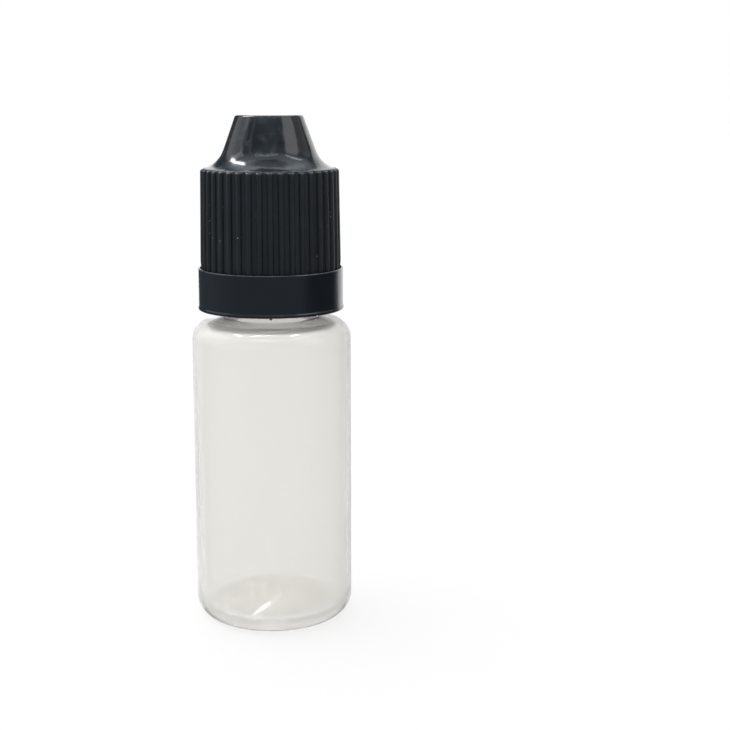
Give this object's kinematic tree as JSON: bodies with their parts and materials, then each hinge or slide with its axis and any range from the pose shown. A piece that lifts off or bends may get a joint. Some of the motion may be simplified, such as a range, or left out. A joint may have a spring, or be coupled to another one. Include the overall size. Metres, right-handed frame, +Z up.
{
  "type": "dropper bottle",
  "caption": "Squeeze dropper bottle: soft blown body, press-in dropper tip, break-away ring and push-and-turn cap with a fine-ribbed skirt and a cone top.",
  "frame": {"origin": "centre of the bottle's base, on the surface that it stands on", "axes": "+Z up along the bottle's axis to the cap"},
  "size_m": [0.022, 0.022, 0.0705],
  "materials": {
    "natural_polyethylene": "smooth, milky, translucent",
    "black_satin": "satin",
    "black_gloss": "glossy cone over a matte ribbed skirt"
  },
  "bodies": {
    "bottle_body": {"bottle": "natural_polyethylene", "dropper_tip": "natural_polyethylene"},
    "ring_body": {"tamper_ring": "black_satin"},
    "inner_cap_body": {"inner_cap": "black_satin", "spring_fingers": "black_satin"},
    "outer_cap_body": {"outer_cap": "black_gloss"}
  },
  "joints": [
    {"name": "cap_turn", "type": "hinge", "parent": "bottle_body", "child": "ring_body", "pos_m": [0, 0, 0.047], "axis": [0, 0, 1], "range_deg": [0, 3600]},
    {"name": "cap_lift", "type": "slide", "parent": "ring_body", "child": "inner_cap_body", "axis": [0, 0, 1], "range_m": [0, 0.025]},
    {"name": "cap_press", "type": "slide", "parent": "inner_cap_body", "child": "outer_cap_body", "axis": [0, 0, -1], "range_m": [0, 0.001], "stiffness_N_per_m": 6000, "deforming": ["spring_fingers"]}
  ],
  "couplings": [
    {"joint": "cap_turn", "follows": "cap_lift", "rad_per_m": 2513.3}
  ]
}
